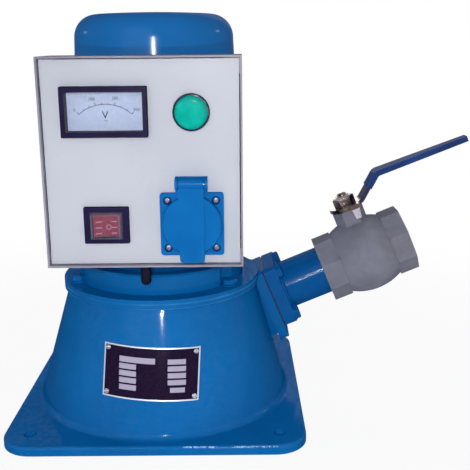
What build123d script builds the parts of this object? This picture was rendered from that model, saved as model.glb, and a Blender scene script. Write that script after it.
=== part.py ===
from build123d import *
from math import cos, sin, radians, sqrt
import os

# Small vertical hydroelectric generator: a conical turbine casing on a square base,
# an inclined water inlet with a ball valve, the generator on top and a control box.
# The origin is the middle of the underside of the base plate. X points to the inlet,
# -Y to the control box and Z up. Every size is in millimetres.

# Base plate
plate_size = 264.0
plate_thick = 8.0
plate_corner_r = 28.0
plate_edge_r = 2.5
foot_hole_inset = 23.5
foot_hole_d = 11.0

# Conical casing
cone_foot_margin = 12.0
cone_top_r = 88.0
casing_wall = 6.0
casing_height = 120.0
rim_r = 92.5
rim_thick = 4.5
top_thick = 8.0
register_r = 45.0
foot_fillet_r = 6.0
cast_fillet_r = 2.0

# Generator
bell_flange_thick = 4.0
bell_r = 78.0
bell_height = 22.0
bell_bolt_circle_r = 81.0
bell_bolt_count = 3
bell_bolt_start = -156.0
bolt_d = 8.0
hex_af = 13.0
hex_head_h = 5.3
scallop_clearance = 2.0
frame_r = 66.0
frame_height = 148.0
fin_count = 28
fin_gap = 7.0
fin_depth = 5.0
fin_margin = 12.0
shield_height = 10.0
cover_foot_r = 73.5
cover_top_r = 71.0
cover_skirt = 10.0
cover_height = 84.0
cover_wall = 1.5
cover_shoulder_r = 20.0
cover_crown = 1.5
spigot_clearance = 0.05
bore_clearance = 0.1
bell_chamfer = 1.5

# Shaft and runner
shaft_d = 20.0
shaft_tip_z = 24.0
runner_z = 48.0
runner_height = 22.0
runner_hub_r = 22.0
runner_r = 55.0
runner_rim_thick = 2.5
vane_count = 14
vane_thick = 2.2
vane_arc_r = 11.5
vane_arc = 115.0
vane_back = 9.2
vane_sink = 1.0
runner_nut_af = 30.0
runner_nut_h = 12.0

# Inlet: the axis rises away from the casing
inlet_angle = 22.5
inlet_x = 108.5
inlet_y = 40.0
inlet_z = 89.5
casing_flange_thick = 9.0
casing_flange_drop = 12.0
flange_size = 62.0
flange_thick = 12.0
flange_corner_r = 5.0
gasket_thick = 1.5
gasket_margin = 1.0
flange_bolt_spacing = 46.0
neck_width = 52.0
pipe_od = 48.3
pipe_id = 40.0
pipe_gap = 43.5

# Nozzle
nozzle_r = 18.0
nozzle_flange_r = 22.0
nozzle_flange_thick = 4.0
nozzle_length = 66.0
nozzle_mouth_r = 15.0
nozzle_tip_r = 9.0
jet_r = 5.5

# Ball valve
valve_af = 62.0
valve_length = 90.0
valve_end_length = 19.0
valve_body_r = 38.0
thread_depth = 18.0
thread_minor_r = 22.4
port_r = 19.0
ball_r = 27.5
ball_clearance = 0.3
stem_slot = 4.0
belly_end_r = 31.5
cap_spigot_r = 28.2
cap_spigot_start = 9.0
bonnet_af = 27.0
bonnet_top = 50.5
stem_r = 5.0
stem_top = 68.0
stem_tip_r = 3.5
stem_clearance = 0.1
gland_af = 18.0
gland_h = 5.5
gland_sink = 4.7
lever_thick = 3.8
lever_width = 19.4
lever_tip_width = 9.4
lever_eye_r = 17.0
lever_bend_start = 15.5
lever_riser = 23.5
lever_rise = 20.0
lever_droop = 3.0
lever_bend_r = 6.0
lever_length = 132.5
sleeve_wall = 0.8
sleeve_start = 27.0
lever_nut_af = 19.0
lever_nut_h = 9.0
stop_tab_drop = 10.5
stop_tab_width = 9.4
stop_tab_low_width = 5.2
stop_tab_offset = 6.8
stop_tab_clearance = 0.8
stop_tab_thick = 3.0

# Control box
box_width = 155.4
box_height = 164.0
box_front_y = -129.0
box_depth = 53.0
box_bottom_z = 164.5
sheet = 1.5
panel_recess = 4.5
panel_gap = 0.8
corner_tab = 12.0
cut_gap = 0.1
seal_gap = 0.1
bracket_width = 70.0
bracket_height = 76.0
bracket_mid_z = 230.0
bracket_thick = 6.0
pad_width = 60.0
gland_x = -3.0
gland_y = -104.0
gland_hole_d = 9.0
gland_collar = 2.0
gland_lock_h = 3.0
gland_collar_h = 4.0
gland_taper_h = 2.0
plug_length = 22.0
plug_taper = 0.5
plug_round = 3.0

# Voltmeter
meter_x = -27.5
meter_drop = 41.4
meter_width = 66.3
meter_height = 38.4
meter_proud = 7.0
meter_body_width = 62.6
meter_body_height = 34.0
meter_body_depth = 30.0
meter_corner_r = 0.8
meter_edge_r = 0.8
window_width = 59.3
window_height = 30.0
window_depth = 13.0
dial_thick = 1.0
glass_thick = 1.5
glass_inset = 0.4

# Pilot lamp
lamp_x = 38.7
lamp_drop = 42.3
lamp_bezel_d = 28.6
lamp_bezel_proud = 3.5
lamp_lens_d = 25.4
lamp_lens_proud = 8.0
lamp_body_d = 21.5
lamp_body_depth = 28.0
lamp_seat_depth = 2.0
lamp_edge_r = 1.0
lamp_dome_r = 3.6

# Rocker switch
switch_x = -29.6
switch_rise = 34.1
switch_width = 35.6
switch_height = 29.4
switch_proud = 4.0
switch_side_rim = 4.9
switch_end_rim = 3.8
switch_wall = 1.0
switch_corner_r = 1.2
switch_edge_r = 1.0
switch_body_depth = 26.0
rocker_width = 21.6
rocker_height = 18.2
rocker_depth = 10.0
rocker_inset = 1.0
rocker_ends = 4.0
rocker_dip = 1.5
rocker_wall = 2.0
rocker_belly = 7.0
rocker_tilt = 8.0
rocker_pin_r = 1.5
boot_wall = 0.8
boot_proud = 10.0
boot_taper = 12.0
boot_edge_r = 1.5

# Panel socket with a flap
socket_x = 37.7
socket_rise = 34.7
socket_size = 50.0
socket_corner_r = 2.5
socket_proud = 4.0
socket_body_d = 44.0
socket_body_depth = 26.0
socket_well_d = 39.0
socket_well_depth = 17.0
socket_pin_spacing = 19.0
socket_pin_hole_d = 5.0
socket_pin_depth = 8.0
socket_screw_spacing = 38.0
socket_screw_d = 3.4
socket_screw_head_d = 4.6
socket_screw_head_h = 1.0
socket_screw_bore_d = 6.4
socket_screw_sink = 1.2
lid_d = 47.2
lid_thick = 5.0
lid_band_width = 19.6
lid_band_proud = 1.8
lid_tab_end = 29.6
lid_tab_r = 3.5
lid_edge_r = 1.5
lid_gap = 0.3
hinge_width = 25.0
hinge_rise = 8.0
hinge_r = 4.5
hinge_gap = 0.4
hinge_pin_r = 1.5
pin_clearance = 0.05

# Nameplate on the cone
nameplate_width = 83.4
nameplate_height = 43.6
nameplate_x = -2.2
nameplate_z = 61.8
nameplate_turn = -2.8
nameplate_thick = 0.8
nameplate_gap = 0.3
rivet_d = 4.5
rivet_h = 1.2
rivet_inset = 3.6

# Places that follow from the sizes
cone_foot_r = plate_size / 2 - cone_foot_margin
foot_spacing = plate_size - 2 * foot_hole_inset
axis_dir = Vector(cos(radians(inlet_angle)), 0, sin(radians(inlet_angle)))
stem_dir = Vector(-sin(radians(inlet_angle)), 0, cos(radians(inlet_angle)))
inlet_point = Vector(inlet_x, inlet_y, inlet_z)
bell_z = casing_height
ring_z = bell_z + bell_flange_thick
frame_z = bell_z + bell_height
shield_z = frame_z + frame_height
shaft_top_z = bell_z + bell_height / 2
cover_z = shield_z - cover_skirt
valve_start = gasket_thick + flange_thick + pipe_gap
valve_centre_run = valve_start + valve_length / 2
valve_centre = inlet_point + axis_dir * valve_centre_run
box_top_z = box_bottom_z + box_height
box_back_y = box_front_y + box_depth
box_mid_z = box_bottom_z + box_height / 2
panel_y = box_front_y + panel_recess
panel_back_y = panel_y + sheet
pad_y = box_back_y + bracket_thick
cone_slope = (cone_top_r - cone_foot_r) / (casing_height - rim_thick - plate_thick)
socket_z = box_bottom_z + socket_rise
switch_z = box_bottom_z + switch_rise
meter_z = box_top_z - meter_drop
lamp_z = box_top_z - lamp_drop
socket_front_y = panel_y - socket_proud
hinge_z = socket_z + socket_size / 2 + hinge_rise
hinge_y = socket_front_y - hinge_r
switch_hole_w = switch_width - 2 * switch_side_rim
switch_hole_h = switch_height - 2 * switch_end_rim


def cone_r(z):
    return cone_foot_r + cone_slope * (z - plate_thick)


def cover_r(z):
    straight = cover_height - cover_shoulder_r - cover_crown
    return cover_foot_r + (cover_top_r - cover_foot_r) * (z - cover_z) / straight


def front_plane(y, x=0.0, z=0.0):
    # A plane facing the front, with its own X to the right and Y up
    return Plane(origin=(x, y, z), x_dir=(1, 0, 0), z_dir=(0, -1, 0))


def inlet_plane(run=0.0):
    # A plane across the inlet axis, with X away from the front and Y up the stem side
    return Plane(origin=inlet_point + axis_dir * run, x_dir=(0, 1, 0), z_dir=axis_dir)


def stem_plane(height=0.0):
    # A plane across the valve stem, with X along the pipe and Y away from the front
    return Plane(origin=valve_centre + stem_dir * height, x_dir=axis_dir, z_dir=stem_dir)


lever_side = Plane(origin=valve_centre, x_dir=axis_dir, z_dir=(0, -1, 0))

made = {}


def finish(builder, label):
    builder.part.label = label
    made[label] = builder.part


# Turbine casing: base plate, cone, top rim and inlet neck are one casting
inner_foot_r = cone_foot_r - casing_wall
inner_top_r = cone_top_r - casing_wall
cone_top_z = casing_height - rim_thick
cavity_top_z = casing_height - top_thick
with BuildPart() as turbine_casing:
    with BuildSketch():
        RectangleRounded(plate_size, plate_size, plate_corner_r)
    extrude(amount=plate_thick)
    top_edges = turbine_casing.edges().group_by(Axis.Z)[-1]
    fillet(top_edges, plate_edge_r)
    with BuildSketch(Plane.XZ):
        with BuildLine():
            Polyline(
                (0, 0),
                (cone_foot_r, 0),
                (cone_foot_r, plate_thick),
                (cone_top_r, cone_top_z),
                (rim_r, cone_top_z),
                (rim_r, casing_height),
                (0, casing_height),
                close=True,
            )
        make_face()
    revolve(axis=Axis.Z)
    foot_circles = turbine_casing.edges().filter_by(GeomType.CIRCLE)
    foot_circles = foot_circles.filter_by(lambda e: abs(e.radius - cone_foot_r) < 0.01)
    fillet(foot_circles.sort_by(Axis.Z)[-1], foot_fillet_r)
    with BuildSketch(Plane.XZ.offset(-inlet_y)):
        back = inlet_point - axis_dir * casing_flange_thick
        top_corner = back + stem_dir * (cone_top_z - back.Z) / stem_dir.Z
        low_corner = back - stem_dir * (flange_size / 2 + casing_flange_drop / 2)
        with BuildLine():
            Polyline(
                (runner_r, cone_top_z),
                (top_corner.X, cone_top_z),
                (low_corner.X, low_corner.Z),
                (runner_r, low_corner.Z - casing_flange_drop),
                close=True,
            )
        make_face()
    extrude(amount=neck_width / 2, both=True)
    with BuildSketch(inlet_plane()):
        with Locations((0, -casing_flange_drop / 2)):
            RectangleRounded(flange_size, flange_size + casing_flange_drop, flange_corner_r)
    extrude(amount=-casing_flange_thick)
    with BuildSketch(Plane.XZ):
        with BuildLine():
            Polyline(
                (0, 0),
                (inner_foot_r, 0),
                (inner_foot_r, plate_thick),
                (inner_top_r, cavity_top_z),
                (0, cavity_top_z),
                close=True,
            )
        make_face()
    revolve(axis=Axis.Z, mode=Mode.SUBTRACT)
    with BuildSketch(Plane.XY.offset(casing_height)):
        Circle(register_r)
    extrude(amount=-top_thick, mode=Mode.SUBTRACT)
    with BuildSketch(inlet_plane()):
        Circle(nozzle_r)
    extrude(amount=-nozzle_length, mode=Mode.SUBTRACT)
    with BuildSketch(inlet_plane()):
        Circle(nozzle_flange_r)
    extrude(amount=-nozzle_flange_thick, mode=Mode.SUBTRACT)
    with BuildSketch(inlet_plane()):
        with GridLocations(flange_bolt_spacing, flange_bolt_spacing, 2, 2):
            Circle(bolt_d / 2)
    extrude(amount=-casing_flange_thick, mode=Mode.SUBTRACT)
    with BuildSketch(Plane.XY.offset(casing_height)):
        with PolarLocations(bell_bolt_circle_r, bell_bolt_count, start_angle=bell_bolt_start):
            Circle(bolt_d / 2)
    extrude(amount=-rim_thick, mode=Mode.SUBTRACT)
    with BuildSketch():
        with GridLocations(foot_spacing, foot_spacing, 2, 2):
            Circle(foot_hole_d / 2)
    extrude(amount=plate_thick, mode=Mode.SUBTRACT)
finish(turbine_casing, "turbine_casing")

# Lower end bell: a flange on the casing, a ring with pockets for the bolt heads
with BuildPart() as end_bell:
    with BuildSketch(Plane.XY.offset(bell_z)):
        Circle(rim_r)
    extrude(amount=bell_flange_thick)
    with BuildSketch(Plane.XY.offset(ring_z)):
        Circle(bell_r)
        with PolarLocations(bell_bolt_circle_r, bell_bolt_count, start_angle=bell_bolt_start):
            Circle(hex_af / sqrt(3) + scallop_clearance, mode=Mode.SUBTRACT)
    extrude(amount=bell_height - bell_flange_thick)
    chamfer(end_bell.edges().group_by(Axis.Z)[-1], bell_chamfer)
    with BuildSketch(Plane.XY.offset(bell_z)):
        Circle(register_r - spigot_clearance)
    extrude(amount=-top_thick)
    with BuildSketch(Plane.XY.offset(bell_z - top_thick)):
        Circle(shaft_d / 2 + bore_clearance)
    extrude(amount=shaft_top_z - bell_z + top_thick, mode=Mode.SUBTRACT)
    with BuildSketch(Plane.XY.offset(bell_z)):
        with PolarLocations(bell_bolt_circle_r, bell_bolt_count, start_angle=bell_bolt_start):
            Circle(bolt_d / 2)
    extrude(amount=bell_flange_thick, mode=Mode.SUBTRACT)
finish(end_bell, "end_bell")

# Bolts that hold the end bell on the casing
with BuildPart() as bell_bolts:
    with BuildSketch(Plane.XY.offset(ring_z)):
        with PolarLocations(bell_bolt_circle_r, bell_bolt_count, start_angle=bell_bolt_start):
            RegularPolygon(hex_af / 2, 6, major_radius=False)
    extrude(amount=hex_head_h)
    with BuildSketch(Plane.XY.offset(ring_z)):
        with PolarLocations(bell_bolt_circle_r, bell_bolt_count, start_angle=bell_bolt_start):
            Circle(bolt_d / 2)
    extrude(amount=-(bell_flange_thick + rim_thick))
finish(bell_bolts, "bell_bolts")

# Generator frame with upright cooling fins and a flat pad for the control box
with BuildPart() as generator_frame:
    with BuildSketch(Plane.XY.offset(frame_z)):
        Circle(frame_r)
    extrude(amount=frame_height)
    with BuildSketch(Plane.XY.offset(frame_z + fin_margin)):
        with PolarLocations(frame_r, fin_count, start_angle=180 / fin_count):
            Rectangle(2 * fin_depth, fin_gap)
    extrude(amount=frame_height - cover_skirt - 2 * fin_margin, mode=Mode.SUBTRACT)
    with BuildSketch(front_plane(pad_y, z=bracket_mid_z)):
        Rectangle(pad_width, bracket_height)
    extrude(amount=pad_y + frame_r / 2)
finish(generator_frame, "generator_frame")

# Upper end shield, inside the skirt of the cover
shield_r = cover_r(shield_z + shield_height) - cover_wall - spigot_clearance
with BuildPart() as upper_shield:
    with BuildSketch(Plane.XY.offset(shield_z)):
        Circle(shield_r)
    extrude(amount=shield_height)
    fillet(upper_shield.edges().group_by(Axis.Z)[-1], cast_fillet_r)
finish(upper_shield, "upper_shield")


def dome_line(inset):
    # Half section of the domed cover, from its open foot to the axis
    high = cover_z + cover_height - inset
    corner = cover_shoulder_r - inset
    bend = cover_top_r - cover_shoulder_r
    with BuildLine() as outline:
        l1 = Line((cover_foot_r - inset, cover_z), (cover_top_r - inset, high - cover_crown - corner))
        l2 = RadiusArc(l1 @ 1, (bend, high - cover_crown), -corner)
        crown_r = (bend**2 + cover_crown**2) / (2 * cover_crown)
        RadiusArc(l2 @ 1, (0, high), -crown_r)
    return outline.line


# Pressed cover over the top of the generator
with BuildPart() as generator_cover:
    with BuildSketch(Plane.XZ):
        with BuildLine():
            outer = add(dome_line(0))
            inner = add(dome_line(cover_wall))
            Line((cover_foot_r - cover_wall, cover_z), (cover_foot_r, cover_z))
            Line((0, cover_z + cover_height - cover_wall), (0, cover_z + cover_height))
        make_face()
    revolve(axis=Axis.Z)
finish(generator_cover, "generator_cover")

# Shaft from the generator down to the runner
with BuildPart() as shaft:
    with BuildSketch(Plane.XY.offset(shaft_tip_z)):
        Circle(shaft_d / 2)
    extrude(amount=shaft_top_z - shaft_tip_z)
finish(shaft, "shaft")

# Runner: a hub, curved vanes that catch the jet from above, and an outer ring
with BuildPart() as vane:
    vane_root = (runner_hub_r - vane_sink, 0, runner_z)
    with BuildSketch(Plane(origin=vane_root, x_dir=(0, 1, 0), z_dir=(1, 0, 0))):
        vane_centre = (-vane_back, 0)
        with BuildLine():
            outer = CenterArc(vane_centre, vane_arc_r + vane_thick / 2, -vane_arc / 2, vane_arc)
            inner = CenterArc(vane_centre, vane_arc_r - vane_thick / 2, -vane_arc / 2, vane_arc)
            Line(outer @ 0, inner @ 0)
            Line(outer @ 1, inner @ 1)
        make_face()
    extrude(amount=runner_r - runner_rim_thick / 2 - runner_hub_r + vane_sink)
with BuildPart() as runner:
    with BuildSketch(Plane.XY.offset(runner_z - runner_height / 2)):
        Circle(runner_hub_r)
        Circle(shaft_d / 2 + spigot_clearance, mode=Mode.SUBTRACT)
    extrude(amount=runner_height)
    with BuildSketch(Plane.XY.offset(runner_z - runner_height / 2)):
        Circle(runner_r)
        Circle(runner_r - runner_rim_thick, mode=Mode.SUBTRACT)
    extrude(amount=runner_height)
    with PolarLocations(0, vane_count):
        add(vane.part)
finish(runner, "runner")

# Nut that holds the runner on the shaft
with BuildPart() as runner_nut:
    with BuildSketch(Plane.XY.offset(runner_z - runner_height / 2)):
        RegularPolygon(runner_nut_af / 2, 6, major_radius=False)
        Circle(shaft_d / 2 + spigot_clearance, mode=Mode.SUBTRACT)
    extrude(amount=-runner_nut_h)
finish(runner_nut, "runner_nut")

# Nozzle in the inlet neck
with BuildPart() as nozzle:
    with BuildSketch(lever_side):
        run = -valve_centre_run
        r1 = nozzle_r - spigot_clearance
        with BuildLine():
            Polyline(
                (run, nozzle_mouth_r),
                (run, nozzle_flange_r - spigot_clearance),
                (run - nozzle_flange_thick, nozzle_flange_r - spigot_clearance),
                (run - nozzle_flange_thick, r1),
                (run - nozzle_length / 2, r1),
                (run - nozzle_length, nozzle_tip_r),
                (run - nozzle_length, jet_r),
                close=True,
            )
        make_face()
    revolve(axis=Axis(valve_centre, axis_dir))
finish(nozzle, "nozzle")

# Gasket, flange, pipe and bolts of the inlet
with BuildPart() as inlet_gasket:
    with BuildSketch(inlet_plane()):
        RectangleRounded(flange_size - 2 * gasket_margin, flange_size - 2 * gasket_margin, flange_corner_r)
        Circle(pipe_id / 2, mode=Mode.SUBTRACT)
        with GridLocations(flange_bolt_spacing, flange_bolt_spacing, 2, 2):
            Circle(bolt_d / 2, mode=Mode.SUBTRACT)
    extrude(amount=gasket_thick)
finish(inlet_gasket, "inlet_gasket")

flange_run = gasket_thick + flange_thick
with BuildPart() as inlet_flange:
    with BuildSketch(inlet_plane(gasket_thick)):
        RectangleRounded(flange_size, flange_size, flange_corner_r)
        Circle(pipe_od / 2, mode=Mode.SUBTRACT)
        with GridLocations(flange_bolt_spacing, flange_bolt_spacing, 2, 2):
            Circle(bolt_d / 2, mode=Mode.SUBTRACT)
    extrude(amount=flange_thick)
finish(inlet_flange, "inlet_flange")

with BuildPart() as inlet_pipe:
    with BuildSketch(inlet_plane(gasket_thick)):
        Circle(pipe_od / 2)
        Circle(pipe_id / 2, mode=Mode.SUBTRACT)
    extrude(amount=valve_start + thread_depth - gasket_thick)
finish(inlet_pipe, "inlet_pipe")

with BuildPart() as inlet_bolts:
    with BuildSketch(inlet_plane(flange_run)):
        with GridLocations(flange_bolt_spacing, flange_bolt_spacing, 2, 2):
            RegularPolygon(hex_af / 2, 6, major_radius=False)
    extrude(amount=hex_head_h)
    with BuildSketch(inlet_plane(flange_run)):
        with GridLocations(flange_bolt_spacing, flange_bolt_spacing, 2, 2):
            Circle(bolt_d / 2)
    extrude(amount=-(flange_run + casing_flange_thick))
finish(inlet_bolts, "inlet_bolts")

# Valve body: an octagon for the wrench, a round belly and the bonnet for the stem
cap_run = valve_start + valve_length - valve_end_length
with BuildPart() as valve_body:
    with BuildSketch(inlet_plane(valve_start)):
        RegularPolygon(valve_af / 2, 8, major_radius=False, rotation=22.5)
    extrude(amount=valve_end_length)
    with BuildSketch(lever_side):
        half = valve_length / 2 - valve_end_length
        with BuildLine():
            Line((-half, 0), (-half, belly_end_r))
            ThreePointArc((-half, belly_end_r), (0, valve_body_r), (half, belly_end_r))
            Line((half, belly_end_r), (half, 0))
            Line((half, 0), (-half, 0))
        make_face()
    revolve(axis=Axis(valve_centre, axis_dir))
    with BuildSketch(stem_plane()):
        RegularPolygon(bonnet_af / 2, 6, major_radius=False)
    extrude(amount=bonnet_top)
    with BuildSketch(inlet_plane(valve_start)):
        Circle(pipe_od / 2 + spigot_clearance)
    extrude(amount=thread_depth, mode=Mode.SUBTRACT)
    with BuildSketch(inlet_plane(valve_start)):
        Circle(port_r)
    extrude(amount=valve_length / 2, mode=Mode.SUBTRACT)
    with BuildSketch(inlet_plane(valve_centre_run)):
        Circle(cap_spigot_r)
    extrude(amount=valve_length / 2, mode=Mode.SUBTRACT)
    with Locations(Location(valve_centre)):
        Sphere(ball_r + ball_clearance, mode=Mode.SUBTRACT)
    with BuildSketch(stem_plane()):
        Circle(stem_r + stem_clearance)
    extrude(amount=bonnet_top, mode=Mode.SUBTRACT)
    with BuildSketch(stem_plane(bonnet_top)):
        Circle(gland_af / sqrt(3) + bore_clearance)
    extrude(amount=-gland_sink, mode=Mode.SUBTRACT)
finish(valve_body, "valve_body")

# End cap of the valve, with the free threaded socket
with BuildPart() as valve_cap:
    with BuildSketch(inlet_plane(cap_run)):
        RegularPolygon(valve_af / 2, 8, major_radius=False, rotation=22.5)
    extrude(amount=valve_end_length)
    with BuildSketch(inlet_plane(valve_centre_run + cap_spigot_start)):
        Circle(cap_spigot_r - spigot_clearance)
    extrude(amount=cap_run - valve_centre_run - cap_spigot_start)
    with BuildSketch(inlet_plane(valve_centre_run)):
        Circle(port_r)
    extrude(amount=valve_length / 2, mode=Mode.SUBTRACT)
    with BuildSketch(inlet_plane(valve_start + valve_length)):
        Circle(thread_minor_r)
    extrude(amount=-thread_depth, mode=Mode.SUBTRACT)
    with Locations(Location(valve_centre)):
        Sphere(ball_r + ball_clearance, mode=Mode.SUBTRACT)
finish(valve_cap, "valve_cap")

# Ball with its through bore, turned by the stem
stem_foot = ball_r - stem_slot
with BuildPart() as valve_ball:
    with Locations(Location(valve_centre)):
        Sphere(ball_r)
    with BuildSketch(inlet_plane(valve_centre_run - valve_length / 2)):
        Circle(port_r)
    extrude(amount=valve_length, mode=Mode.SUBTRACT)
    with BuildSketch(stem_plane(stem_foot)):
        Circle(stem_r)
    extrude(amount=ball_r, mode=Mode.SUBTRACT)
finish(valve_ball, "valve_ball")

with BuildPart() as valve_stem:
    with BuildSketch(stem_plane(stem_foot)):
        Circle(stem_r)
    extrude(amount=stem_top - stem_foot)
    fillet(valve_stem.faces().sort_by(Axis(valve_centre, stem_dir))[-1].edges(), stem_tip_r)
finish(valve_stem, "valve_stem")

with BuildPart() as gland_nut:
    with BuildSketch(stem_plane(bonnet_top - gland_sink)):
        RegularPolygon(gland_af / 2, 6, major_radius=False)
        Circle(stem_r + stem_clearance, mode=Mode.SUBTRACT)
    extrude(amount=gland_h)
finish(gland_nut, "gland_nut")

# Lever: a bent, tapering strip with an eye at the stem and a stop tab turned down in front
lever_low = bonnet_top + gland_h - gland_sink + ball_clearance
lever_mid = lever_low + lever_thick / 2
lever_high = lever_mid + lever_rise
bend_end = lever_bend_start + lever_riser
tab_inner = bonnet_af / sqrt(3) + stop_tab_clearance
tab_outer = tab_inner + stop_tab_thick


def lever_outline(margin):
    # Plan of the strip from the stem to its narrower tip, with a margin all round
    half = lever_width / 2 + margin
    tip_half = lever_tip_width / 2 + margin
    tip = lever_length + margin
    with BuildSketch(stem_plane()) as outline:
        with BuildLine():
            Polyline(
                (0, half),
                (bend_end, half),
                (tip, tip_half),
                (tip, -tip_half),
                (bend_end, -half),
                (0, -half),
                close=True,
            )
        make_face()
    return outline.sketch_local


with BuildPart() as valve_lever:
    with BuildSketch(lever_side):
        with BuildLine():
            FilletPolyline(
                (-lever_eye_r, lever_mid),
                (lever_bend_start, lever_mid),
                (bend_end, lever_high),
                (lever_length, lever_high - lever_droop),
                radius=lever_bend_r,
            )
        trace(line_width=lever_thick)
    extrude(amount=tab_outer, both=True)
    with BuildSketch(stem_plane()):
        Circle(lever_eye_r)
        with Locations((stop_tab_offset, -tab_outer / 2)):
            Rectangle(stop_tab_width, tab_outer)
        add(lever_outline(0))
    extrude(amount=lever_high + lever_thick, mode=Mode.INTERSECT)
    with BuildSketch(stem_plane(lever_low)):
        Circle(stem_r)
    extrude(amount=lever_thick, mode=Mode.SUBTRACT)
    with BuildSketch(lever_side.offset(tab_inner)):
        with BuildLine():
            Polyline(
                (stop_tab_offset - stop_tab_width / 2, lever_low + lever_thick),
                (stop_tab_offset - stop_tab_low_width / 2, lever_low - stop_tab_drop),
                (stop_tab_offset + stop_tab_low_width / 2, lever_low - stop_tab_drop),
                (stop_tab_offset + stop_tab_width / 2, lever_low + lever_thick),
                close=True,
            )
        make_face()
    extrude(amount=stop_tab_thick)
finish(valve_lever, "valve_lever")

# Soft sleeve on the lever
with BuildPart() as lever_sleeve:
    with BuildSketch(lever_side):
        with BuildLine():
            FilletPolyline(
                (sleeve_start, lever_mid + (sleeve_start - lever_bend_start) * lever_rise / lever_riser),
                (bend_end, lever_high),
                (lever_length + sleeve_wall, lever_high - lever_droop),
                radius=lever_bend_r,
            )
        trace(line_width=lever_thick + 2 * sleeve_wall)
    extrude(amount=lever_width, both=True)
    with BuildSketch(stem_plane()):
        add(lever_outline(sleeve_wall))
    extrude(amount=lever_high + lever_width, mode=Mode.INTERSECT)
    add(valve_lever.part, mode=Mode.SUBTRACT)
finish(lever_sleeve, "lever_sleeve")

with BuildPart() as lever_nut:
    with BuildSketch(stem_plane(lever_low + lever_thick)):
        RegularPolygon(lever_nut_af / 2, 6, major_radius=False)
        Circle(stem_r, mode=Mode.SUBTRACT)
    extrude(amount=lever_nut_h)
finish(lever_nut, "lever_nut")

# Control box: a folded tray, open at the front, with a tab behind each corner of the panel
with BuildPart() as control_box:
    with BuildSketch(front_plane(box_front_y, z=box_mid_z)):
        Rectangle(box_width, box_height)
    extrude(amount=-box_depth)
    inside_width = box_width - 2 * sheet
    inside_height = box_height - 2 * sheet
    with BuildSketch(front_plane(box_front_y, z=box_mid_z)):
        Rectangle(inside_width, inside_height)
    extrude(amount=sheet - box_depth, mode=Mode.SUBTRACT)
    with BuildSketch(front_plane(panel_back_y, z=box_mid_z)):
        with GridLocations(inside_width - corner_tab, inside_height - corner_tab, 2, 2):
            Rectangle(corner_tab, corner_tab)
    extrude(amount=-sheet)
    with BuildSketch(Plane.XY.offset(box_bottom_z)):
        with Locations((gland_x, gland_y)):
            Circle(gland_hole_d / 2)
    extrude(amount=sheet, mode=Mode.SUBTRACT)
finish(control_box, "control_box")

with BuildPart() as front_panel:
    with BuildSketch(front_plane(panel_y, z=box_mid_z)):
        inner = 2 * (sheet + panel_gap)
        Rectangle(box_width - inner, box_height - inner)
        with Locations((meter_x, meter_z - box_mid_z)):
            Rectangle(meter_body_width, meter_body_height, mode=Mode.SUBTRACT)
        with Locations((lamp_x, lamp_z - box_mid_z)):
            Circle(lamp_body_d / 2, mode=Mode.SUBTRACT)
        with Locations((switch_x, switch_z - box_mid_z)):
            Rectangle(switch_hole_w, switch_hole_h, mode=Mode.SUBTRACT)
        with Locations((socket_x, socket_z - box_mid_z)):
            Circle(socket_body_d / 2, mode=Mode.SUBTRACT)
    extrude(amount=-sheet)
finish(front_panel, "front_panel")

with BuildPart() as box_bracket:
    with BuildSketch(front_plane(box_back_y, z=bracket_mid_z)):
        Rectangle(bracket_width, bracket_height)
    extrude(amount=-bracket_thick)
finish(box_bracket, "box_bracket")

# Cable gland with its plug, hanging under the box
with BuildPart() as cable_gland:
    with BuildSketch(front_plane(gland_y, gland_x)):
        hole_r = gland_hole_d / 2
        inside_z = box_bottom_z + sheet
        with BuildLine():
            Polyline(
                (0, inside_z + gland_lock_h),
                (hole_r + gland_collar, inside_z + gland_lock_h),
                (hole_r + gland_collar, inside_z),
                (hole_r, inside_z),
                (hole_r, box_bottom_z),
                (hole_r + gland_collar, box_bottom_z),
                (hole_r + gland_collar, box_bottom_z - gland_collar_h),
                (hole_r, box_bottom_z - gland_collar_h - gland_taper_h),
                (hole_r - plug_taper, box_bottom_z - plug_length),
                (0, box_bottom_z - plug_length),
                close=True,
            )
        make_face()
    revolve(axis=Axis((gland_x, gland_y, 0), (0, 0, 1)))
    fillet(cable_gland.edges().group_by(Axis.Z)[0], plug_round)
finish(cable_gland, "cable_gland")

# Voltmeter: case, dial and window
meter_front_y = panel_y - meter_proud
with BuildPart() as meter_case:
    with BuildSketch(front_plane(panel_y, meter_x, meter_z)):
        RectangleRounded(meter_width, meter_height, meter_corner_r)
    extrude(amount=meter_proud)
    fillet(meter_case.edges().group_by(Axis.Y)[0], meter_edge_r)
    with BuildSketch(front_plane(panel_y, meter_x, meter_z)):
        Rectangle(meter_body_width - 2 * cut_gap, meter_body_height - 2 * cut_gap)
    extrude(amount=-meter_body_depth)
    with BuildSketch(front_plane(meter_front_y, meter_x, meter_z)):
        Rectangle(window_width, window_height)
    extrude(amount=-window_depth, mode=Mode.SUBTRACT)
finish(meter_case, "meter_case")

with BuildPart() as meter_dial:
    with BuildSketch(front_plane(meter_front_y + window_depth, meter_x, meter_z)):
        Rectangle(window_width - 2 * seal_gap, window_height - 2 * seal_gap)
    extrude(amount=dial_thick)
finish(meter_dial, "meter_dial")

with BuildPart() as meter_window:
    with BuildSketch(front_plane(meter_front_y + glass_inset + glass_thick, meter_x, meter_z)):
        Rectangle(window_width - seal_gap, window_height - seal_gap)
    extrude(amount=glass_thick)
finish(meter_window, "meter_window")

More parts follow.
